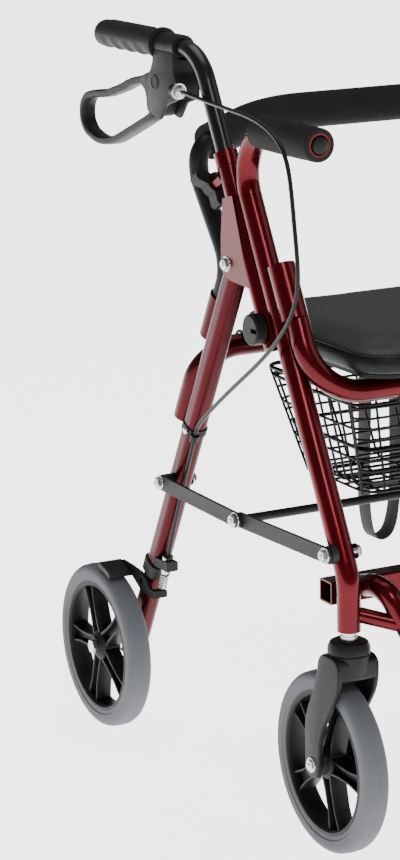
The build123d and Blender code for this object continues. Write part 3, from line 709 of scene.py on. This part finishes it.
    @staticmethod
    def _band(bm: bmesh.types.BMesh, ring: list[Vector], wide: float, thick: float) -> None:
        """Sweep a flat rounded section round a closed ring in a (y, z) plane."""
        count, sides = len(ring), 16
        loops = []
        for i, point in enumerate(ring):
            way = (ring[(i + 1) % count] - ring[i - 1]).normalized()
            turn = Matrix((Vector((1, 0, 0)), way.cross(Vector((1, 0, 0))), way))
            circle = bmesh.ops.create_circle(bm, segments=sides, radius=1.0)["verts"]
            for vert in circle:
                flat = [math.copysign(abs(c) ** 0.55, c) for c in vert.co.xy]
                vert.co = point + turn.transposed() @ Vector((flat[0] * wide, flat[1] * thick, 0))
            loops.append(circle)
        for low, high in zip(loops, loops[1:] + loops[:1]):
            for k in range(sides):
                bm.faces.new((low[k], low[(k + 1) % sides], high[(k + 1) % sides], high[k]))

    @staticmethod
    def _add(piece: bpy.types.Object, body: str, node: str, slot: str) -> None:
        """Put a piece on its body in place of a node."""
        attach(piece, body)
        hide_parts(node)

    def build(self) -> None:
        """Build the handle's pieces."""
        self.grip()
        self.housing()
        self.lever()
        dress(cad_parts[f"handle_tube_{self.side}"], PALETTE.gloss_black)


def on_rear_leg(z: float, back: float, x: float) -> Vector:
    """Point at height z on the rear leg's axis, moved rearwards square to it.

    Args:
        z: Height of the point on the axis.
        back: Distance rearwards, square to the leg.
        x: Place across the walker.

    Returns:
        The point.
    """
    out = Vector((0, 1, REAR_RUN)).normalized()
    return Vector((x, HINGE[0] + REAR_RUN * (HINGE[1] - z), z)) + out * back


def mirrored(points: list[Vector], side: str) -> list[Vector]:
    """The same points on the named side, given on the right."""
    return [Vector((p[0] * -SIDES[side], p[1], p[2])) for p in points]


def flowing(points: list[Vector], rounds: int = 5) -> list[Vector]:
    """Smooth line that leaves the first point for the last and cuts every corner softly."""
    line = [Vector(p) for p in points]
    for _ in range(rounds):
        cut = [line[0]]
        for a, b in zip(line, line[1:]):
            cut += [a.lerp(b, 0.25), a.lerp(b, 0.75)]
        line = [line[0]] + cut[2:-1] + [line[-1]]
    return line


@dataclass
class Armrest:
    """Foam sleeve that swells a little, with the domed plug in the tube's end."""

    side: str

    def build(self) -> None:
        """Model the sleeve and the plug."""
        base = Vector((SIDE_X * SIDES[self.side], *ARM_END))
        profile = [(0.0002, 0.0128), (0.0, 0.0150)] + arc((0.0030, 0.0150), 0.0030, 180, 90, 4)
        profile += [(0.004 + 0.118 * k / 24, 0.0180 + 0.0005 * math.sin(math.pi * k / 24))
                    for k in range(25)]
        profile += arc((0.1235, 0.0150), 0.0030, 90, 0, 4) + [(0.1265, 0.0128)]
        bm = bmesh.new()
        lathe(bm, profile, base, Vector((0, 1, 0)), 64)
        foam = finish_mesh(bm, f"armrest_foam_{self.side}", PALETTE.foam, 40.0)
        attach(foam, "front_frame")
        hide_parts("armrest_foams")
        plug = bmesh.new()
        dome = [(-0.0045, 0.0), (-0.0044, 0.0030), (-0.0038, 0.0062), (-0.0026, 0.0086),
                (-0.0012, 0.0094), (0.0003, 0.0095), (0.0003, 0.0)]
        lathe(plug, dome, base, Vector((0, 1, 0)), 44, False)
        piece = finish_mesh(plug, f"armrest_plug_{self.side}", PALETTE.black_plastic, 40.0)
        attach(piece, "front_frame")
        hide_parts("armrest_plugs")


@dataclass
class BackFoam:
    """Thick foam along the middle of the back bar, cut flat at both ends."""

    radius: float = 0.0208

    def build(self) -> None:
        """Sweep the sleeve along the bar."""
        low, corner = Vector((-0.258, 0.057, 0.726)), Vector((-0.140, 0.118, 0.748))
        start = low.lerp(corner, 0.17)
        points = [start, corner, Vector((-corner.x, corner.y, corner.z)),
                  Vector((-start.x, start.y, start.z))]
        line = rounded(points, 0.280, 14)
        bm = bmesh.new()
        add_tube(bm, line, self.radius, 48)
        rims = [e for e in bm.edges if any(len(f.verts) > 8 for f in e.link_faces)]
        bmesh.ops.bevel(bm, geom=rims, offset=0.003, affect="EDGES", segments=3, profile=0.5,
                        material=-1)
        piece = finish_mesh(bm, "back_foam_sleeve", PALETTE.foam, 45.0)
        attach(piece, "rear_frame")
        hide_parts("back_foam")


@dataclass
class Seat:
    """Padded vinyl seat: a stuffed cushion, a seam round the top, the top lightened with painted sheen
    and the side darkened with painted shade.
    """

    corner: float = 0.046
    edge: float = 0.009
    swell: float = 0.0065

    def ring(self, inset: float, z: float, steps: int = 9) -> list[Vector]:
        """Rounded outline of the seat, moved inwards."""
        low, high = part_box("seat_cushion")
        r = max(0.004, self.corner - inset)
        points = []
        for k, (sx, sy) in enumerate([(1, 1), (-1, 1), (-1, -1), (1, -1)]):
            cx = (high.x if sx > 0 else low.x) - sx * (inset + r)
            cy = (high.y if sy > 0 else low.y) - sy * (inset + r)
            for s in range(steps + 1):
                a = math.pi / 2 * (k + s / steps)
                points.append(Vector((cx + r * math.cos(a), cy + r * math.sin(a), z)))
        return points

    def cushion(self) -> bpy.types.Object:
        """Shape the cushion, then stuff it with a short pressure simulation."""
        low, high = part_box("seat_cushion")
        levels = [(0.0045, low.z), (0.0010, low.z + 0.0030), (0.0, low.z + 0.008),
                  (0.0, high.z - self.edge - 0.001)]
        levels += [(self.edge * (1 - math.cos(a)), high.z - self.edge * (1 - math.sin(a)))
                   for a in [math.pi / 2 * k / 5 for k in range(1, 6)]]
        bm = bmesh.new()
        rings = [[bm.verts.new(p) for p in self.ring(inset, z)] for inset, z in levels]
        for a, b in zip(rings, rings[1:]):
            for k in range(len(a)):
                n = (k + 1) % len(a)
                if a[k].co != a[n].co:
                    bm.faces.new((a[k], a[n], b[n], b[k]))
        bm.faces.new(rings[0])
        bm.faces.new(rings[-1])
        piece = finish_mesh(bm, "seat_pad", PALETTE.vinyl, 70.0)
        bpy.context.view_layer.objects.active = piece
        remesh = piece.modifiers.new("even", "REMESH")
        remesh.mode = "VOXEL"
        remesh.voxel_size = 0.0052
        self._keep(piece)
        self._stuff(piece, low)
        return piece

    @staticmethod
    def _keep(piece: bpy.types.Object) -> None:
        """Make what the modifiers show the mesh itself."""
        seen = piece.evaluated_get(bpy.context.evaluated_depsgraph_get())
        mesh = bpy.data.meshes.new_from_object(seen)
        piece.modifiers.clear()
        old, piece.data = piece.data, mesh
        bpy.data.meshes.remove(old)

    def _stuff(self, piece: bpy.types.Object, low: Vector) -> None:
        """Fill the cushion with pressure, held along its base."""
        before = [v.co.copy() for v in piece.data.vertices]
        held = piece.vertex_groups.new(name="base")
        held.add([i for i, co in enumerate(before) if co.z < low.z + 0.012], 1.0, "REPLACE")
        cloth = piece.modifiers.new("stuffing", "CLOTH")
        cloth.settings.use_pressure = True
        cloth.settings.uniform_pressure_force = 4.0
        cloth.settings.tension_stiffness = 25.0
        cloth.settings.compression_stiffness = 20.0
        cloth.settings.bending_stiffness = 1.5
        cloth.settings.mass = 0.3
        cloth.settings.vertex_group_mass = "base"
        cloth.settings.effector_weights.gravity = 0.0
        cloth.point_cache.frame_start = 1
        cloth.point_cache.frame_end = 20
        scene = bpy.context.scene
        for step in range(1, 21):
            scene.frame_set(step)
        seen = piece.evaluated_get(bpy.context.evaluated_depsgraph_get()).to_mesh()
        after = [v.co.copy() for v in seen.vertices]
        piece.modifiers.clear()
        scene.frame_set(1)
        for vert, a, b in zip(piece.data.vertices, before, after):
            move = b - a
            limit = self.swell if move.z > 0 else 0.002
            flat = Vector((move.x, move.y, 0))
            if flat.length > 0.002:
                flat = flat.normalized() * 0.002
            vert.co = a + flat + Vector((0, 0, max(-0.002, min(limit, move.z))))
        log.info("seat swelled by %.1f mm", 1000 * max(v.co.z - a.z for v, a in
                                                       zip(piece.data.vertices, before)))

    def crown(self, piece: bpy.types.Object) -> None:
        """Round the top up gently towards the middle."""
        low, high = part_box("seat_cushion")
        mid = (low + high) / 2
        for vert in piece.data.vertices:
            if vert.co.z < high.z - 0.012:
                continue
            u = min(1.0, abs(vert.co.x - mid.x) / (high.x - mid.x))
            v = min(1.0, abs(vert.co.y - mid.y) / (high.y - mid.y))
            lift = 0.0045 * (1 - u ** 2.6) * (1 - v ** 2.6)
            vert.co.z = min(vert.co.z + lift, high.z + 0.0085)

    def seam(self, piece: bpy.types.Object) -> bpy.types.Object:
        """Piping along the top edge, laid onto the stuffed surface."""
        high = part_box("seat_cushion")[1]
        line = []
        for point in self.ring(0.0022, high.z - 0.0040, 10):
            hit, near, _, _ = piece.closest_point_on_mesh(point)
            line.append(near if hit else point)
        clean = [p for p, q in zip(line, line[1:] + line[:1]) if (p - q).length > 0.0008]
        dense = []
        for p, q in zip(clean, clean[1:] + clean[:1]):
            steps = max(1, int((q - p).length / 0.012))
            for s in range(steps):
                hit, near, _, _ = piece.closest_point_on_mesh(p.lerp(q, s / steps))
                dense.append(near if hit else p)
        bm = bmesh.new()
        add_tube(bm, dense, 0.0013, 8, True)
        return finish_mesh(bm, "seat_piping", PALETTE.black_plastic, 60.0)

    def build(self) -> None:
        """Build the seat."""
        piece = self.cushion()
        self.crown(piece)
        smooth = piece.modifiers.new("soft", "SMOOTH")
        smooth.iterations = 16
        smooth.factor = 0.5
        self._keep(piece)
        piece.data.shade_smooth()
        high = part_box("seat_cushion")[1]
        dress(piece, PALETTE.vinyl)
        # Side faces that do not face up get the darker copy, which is painted shade; the top keeps the
        # copy lightened with painted sheen.
        piece.data.materials.append(PALETTE.shaded_side_vinyl.build())
        for poly in piece.data.polygons:
            if poly.center.z < high.z - 0.0045 and poly.normal.z < 0.7:
                poly.material_index = 1
        fine = piece.modifiers.new("fine", "SUBSURF")
        fine.levels = fine.render_levels = 1
        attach(piece, "seat")
        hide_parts("seat_cushion")
        piping = self.seam(piece)
        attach(piping, "seat")
        self.stay()

    def stay(self) -> None:
        """Wire loop under each back corner of the seat; the loop and its pin keep the seat down, and
        only the loop is drawn.
        """
        bm = bmesh.new()
        for side in SIDES.values():
            x = side * 0.214
            loop = [Vector((x, 0.024, 0.5150)), Vector((x, 0.052, 0.5140)), Vector((x, 0.060, 0.4960)),
                    Vector((x, 0.050, 0.4880)), Vector((x, 0.047, 0.4900))]
            add_tube(bm, rounded(loop, 0.006, 4), 0.0018, 10)
        piece = finish_mesh(bm, "seat_stays", PALETTE.wire, 60.0)
        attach(piece, "seat")


@dataclass
class Basket:
    """Wire basket: rows round it, uprights that run on under it, and a doubled rim."""

    rows: int = 9
    wire: float = 0.0015
    rim: float = 0.0024

    @staticmethod
    def walls(z: float, inset: float) -> tuple[float, float, float]:
        """Half width, front and back of the basket at height z."""
        t = (z - BASKET_FOOT) / BASKET_DEEP
        return 0.176 + 0.026 * t - inset, -0.172 - 0.016 * t + inset, -0.022 + 0.044 * t - inset

    def outline(self, z: float, inset: float, steps: int = 6) -> list[Vector]:
        """Rounded outline of the basket at height z."""
        half, y0, y1 = self.walls(z, inset)
        r = 0.024 - inset
        points = []
        for k, (sx, sy) in enumerate([(1, 1), (-1, 1), (-1, -1), (1, -1)]):
            cx, cy = sx * (half - r), (y1 - r if sy > 0 else y0 + r)
            for s in range(steps + 1):
                a = math.pi / 2 * (k + s / steps)
                points.append(Vector((cx + r * math.cos(a), cy + r * math.sin(a), z)))
        return points

    def build(self) -> None:
        """Bend every wire."""
        bm = bmesh.new()
        foot, top = 0.3645, 0.4790
        inset = 0.0020
        for k in range(self.rows + 1):
            z = foot + 0.003 + (top - foot - 0.003) * k / self.rows
            if k % 3 == 0:
                add_tube(bm, self.outline(z, inset), self.wire, 10, True)
                continue
            for back in (0, 1):
                half, y0, y1 = self.walls(z, inset)
                y = y1 if back else y0
                bend = -0.014 if back else 0.014
                line = [Vector((-half + 0.001, y + bend, z)), Vector((-half + 0.008, y, z)),
                        Vector((half - 0.008, y, z)), Vector((half - 0.001, y + bend, z))]
                add_tube(bm, rounded(line, 0.008, 4), self.wire, 10)
        add_tube(bm, self.outline(top, inset + 0.0010), self.rim, 12, True)
        add_tube(bm, self.outline(top - 0.0090, inset + 0.0008), 0.0020, 12, True)
        add_tube(bm, self.outline((foot + top) / 2 - 0.004, inset + 0.0035), 0.0022, 12, True)
        deep = inset + 0.0029
        for k in range(9):
            share = -0.88 + 1.76 * k / 8
            line = []
            for z, back in ((top, 0), (foot, 0), (foot, 1), (top, 1)):
                half, y0, y1 = self.walls(z, deep)
                line.append(Vector((share * half, y1 if back else y0, z)))
            add_tube(bm, rounded(line, 0.012, 5), self.wire, 10)
        for k in range(8):
            share = 0.10 + 0.80 * k / 7
            line = []
            for z, way in ((top, -1), (foot + 0.0032, -1), (foot + 0.0032, 1), (top, 1)):
                half, y0, y1 = self.walls(z, deep)
                line.append(Vector((way * half, y0 + (y1 - y0) * share, z)))
            add_tube(bm, rounded(line, 0.012, 5), self.wire, 10)
        for sx in (-1, 1):
            for back in (0, 1):
                line = []
                for z in (top, foot):
                    half, y0, y1 = self.walls(z, inset)
                    line.append(Vector((sx * (half - 0.001), y1 - 0.014 if back else y0 + 0.014, z)))
                add_tube(bm, line, self.wire, 10)
        for k in range(6):
            y = -0.156 + 0.118 * k / 5
            add_tube(bm, [Vector((-0.168, y, foot - 0.0004)), Vector((0.168, y, foot - 0.0004))],
                     self.wire, 10)
        piece = finish_mesh(bm, "basket_wires", PALETTE.wire, 60.0)
        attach(piece, "basket")
        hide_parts("basket")
        self.hooks()

    def hooks(self) -> None:
        """Wire hooks that hang the basket from the two bars."""
        for body, (y, z), end in (("rear_frame", REAR_BAR, "back"),
                                  ("front_frame", FRONT_BAR, "front")):
            bm = bmesh.new()
            for x in (-0.150, -0.135, 0.135, 0.150):
                ring = [Vector((x, y + 0.0149 * math.cos(a), z + 0.0149 * math.sin(a)))
                        for a in [math.radians(-50 + 280 * k / 24) for k in range(25)]]
                add_tube(bm, ring, 0.0019, 10)
            piece = finish_mesh(bm, f"basket_hooks_{end}", PALETTE.wire, 60.0)
            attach(piece, body)


@dataclass
class Strap:
    """Webbing loop under the back of the seat, with one leg twisted."""

    width: float = 0.024
    thick: float = 0.0017

    def build(self) -> None:
        """Lay the ribbon along its loop and turn it as it goes."""
        path = [(-0.050, 0.042, 0.4860), (-0.0515, 0.042, 0.420), (-0.0540, 0.041, 0.340),
                (-0.0545, 0.040, 0.288), (-0.0480, 0.039, 0.2500), (-0.0330, 0.039, 0.2455),
                (-0.0190, 0.040, 0.2560), (-0.0120, 0.041, 0.290), (-0.0085, 0.042, 0.350),
                (-0.0080, 0.042, 0.420), (-0.0080, 0.042, 0.4860)]
        line = flowing([Vector(p) for p in path], 3)
        length = sum((b - a).length for a, b in zip(line, line[1:]))
        bm = bmesh.new()
        uv = bm.loops.layers.uv.new("weave")
        rings, run, runs = [], 0.0, []
        for i, point in enumerate(line):
            if i:
                run += (point - line[i - 1]).length
            way = (line[min(i + 1, len(line) - 1)] - line[max(i - 1, 0)]).normalized()
            share = run / length
            twist = math.radians(98.0 - 12.0 * share + 34.0 * max(0.0, share - 0.60) / 0.40)
            across = Vector((math.cos(twist), math.sin(twist), 0.0))
            across = (across - way * across.dot(way)).normalized()
            up = way.cross(across)
            corners = [(-1, -0.6), (-0.96, -1), (0.96, -1), (1, -0.6), (1, 0.6), (0.96, 1),
                       (-0.96, 1), (-1, 0.6)]
            rings.append([bm.verts.new(point + across * (a * self.width / 2) + up * (b * self.thick / 2))
                          for a, b in corners])
            runs.append(run)
        for i, (low, high) in enumerate(zip(rings, rings[1:])):
            for k in range(8):
                n = (k + 1) % 8
                face = bm.faces.new((low[k], low[n], high[n], high[k]))
                for loop, (u, v) in zip(face.loops, ((k, i), (k + 1, i), (k + 1, i + 1), (k, i + 1))):
                    loop[uv].uv = (u / 8 * 0.048, runs[v])
        bm.faces.new(rings[0])
        bm.faces.new(rings[-1])
        piece = finish_mesh(bm, "strap_loop", PALETTE.webbing, 40.0)
        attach(piece, "rear_frame")
        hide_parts("strap")
        log.info("strap length %.3f", length)


@dataclass
class Cable:
    """Brake cable of one side, in two stretches that meet in the free span."""

    side: str
    radius: float = 0.0024

    def build(self) -> None:
        """Run the sheath from the housing round the frame to the adjuster."""
        turn = [Vector((-0.280, 0.0475, 0.790)), Vector((-0.283, 0.010, 0.7880)),
                Vector((-0.297, -0.212, 0.780))]
        low = Vector((-0.297, -0.244, 0.585))
        split = turn[-1].lerp(low, 0.5)
        clip = Vector((-0.276, 0.036, 0.412)).lerp(Vector((-0.270, 0.100, 0.298)), 0.13)
        rest = [Vector((-0.276, 0.030, 0.4225)), clip, Vector((-0.270, 0.100, 0.298)),
                Vector((-0.269, 0.128, 0.236))]
        upper = flowing(mirrored(turn + [split], self.side))
        lower = flowing(mirrored([split, low] + rest, self.side))
        for name, line, pair in (("upper", upper, (f"handle_{self.side}", "front_frame")),
                                 ("lower", lower, ("front_frame", "rear_frame"))):
            bm = bmesh.new()
            add_tube(bm, line, self.radius, 14)
            piece = finish_mesh(bm, f"cable_{name}_sheath_{self.side}", PALETTE.sheath, 60.0)
            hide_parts(f"cable_{name}_{self.side}")
            length = sum((b - a).length for a, b in zip(line, line[1:]))
            log.info("cable %s %s is %.3f m", name, self.side, length)
            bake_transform(piece)


@dataclass
class Hardware:
    """Hexagon bolts of the hinge and of the fold links."""

    def build(self) -> None:
        """Set the bolts on both sides."""
        places = {
            "front_frame": ("front_frame_bolts",
                            [(HINGE, 0.2802, 0.2498), (LINK_FRONT, 0.2884, 0.2519)]),
            "rear_frame": ("rear_frame_bolts", [(LINK_REAR, 0.2928, 0.2527)]),
        }
        for body, (node, spots) in places.items():
            bm = bmesh.new()
            for way in SIDES.values():
                for (y, z), out, inner in spots:
                    hex_bolt(bm, Vector((way * out, y, z)), Vector((way, 0, 0)), 0.0068, 0.0042)
                    hex_bolt(bm, Vector((way * inner, y, z)), Vector((-way, 0, 0)), 0.0066, 0.0046)
                    lathe(bm, [(inner, 0.0), (inner, 0.0039), (out, 0.0039), (out, 0.0)],
                          Vector((0, y, z)), Vector((way, 0, 0)), 24, False)
            piece = finish_mesh(bm, f"{body}_bolt_set", PALETTE.zinc, 30.0)
            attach(piece, body)
            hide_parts(node)
        for side, way in SIDES.items():
            bm = bmesh.new()
            hex_bolt(bm, Vector((way * 0.2926, *LINK_MIDDLE)), Vector((way, 0, 0)), 0.0072, 0.0050)
            piece = finish_mesh(bm, f"link_bolt_{side}", PALETTE.zinc, 30.0)
            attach(piece, f"rear_link_{side}")
            bm = bmesh.new()
            at = on_rear_leg(0.4055, -0.004, way * 0.2782)
            lathe(bm, [(0.0, 0.0), (0.0, 0.0042), (0.0016, 0.0040), (0.0026, 0.0028), (0.0029, 0.0)],
                  at, Vector((way, 0, 0)), 28, False)
            piece = finish_mesh(bm, f"clip_screw_{side}", PALETTE.zinc, 40.0)
            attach(piece, "rear_frame")


def dress_frame() -> None:
    """Give the CAD nodes their finishes."""
    plain = {
        "ruby": ["front_legs", "receiver_collars", "front_seat_bar", "front_crossbar"],
        "dark_ruby": ["rear_legs", "rear_seat_bar"],
        "black_plastic": ["armrest_plugs", "back_tube", "rear_leg_clips", "rear_leg_plugs",
                          "seat_board"],
        "link_black": ["front_links", "front_link_spacers", "link_rod"],
        "zinc": ["front_frame_bolts", "rear_axles", "rear_frame_bolts",
                 "cable_adjusters"],
        "foam": ["armrest_foams", "back_foam"],
        "vinyl": ["seat_cushion"],
        "wire": ["basket"],
        "webbing": ["strap"],
    }
    for side in SIDES:
        plain["gloss_black"] = plain.get("gloss_black", []) + [f"handle_tube_{side}"]
        plain["link_black"].append(f"rear_link_{side}")
        plain["black_plastic"] += [f"brake_arm_{side}", f"height_knob_{side}", f"star_knob_{side}"]
        plain["zinc"].append(f"brake_spring_{side}")
        plain["brass"] = plain.get("brass", []) + [f"snap_button_{side}"]
        plain["sheath"] = plain.get("sheath", []) + [f"cable_upper_{side}", f"cable_lower_{side}"]
    plain["link_black"].append("brake_brackets")
    for finish, names in plain.items():
        for name in names:
            dress(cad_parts[name], getattr(PALETTE, finish))


def main() -> None:
    """Build the whole walker and the studio."""
    dress_frame()
    for side in SIDES:
        for part in (Wheel("caster", side, 20.0), Wheel("rear", side, 52.0), Fork(side),
                     Handle(side), Armrest(side), Cable(side)):
            log.info("building %s on the %s", type(part).__name__, side)
            part.build()
    for part in (BackFoam(), Seat(), Basket(), Strap(), Hardware()):
        log.info("building %s", type(part).__name__)
        part.build()
    Studio().build()


if __name__ == "__main__":
    main()
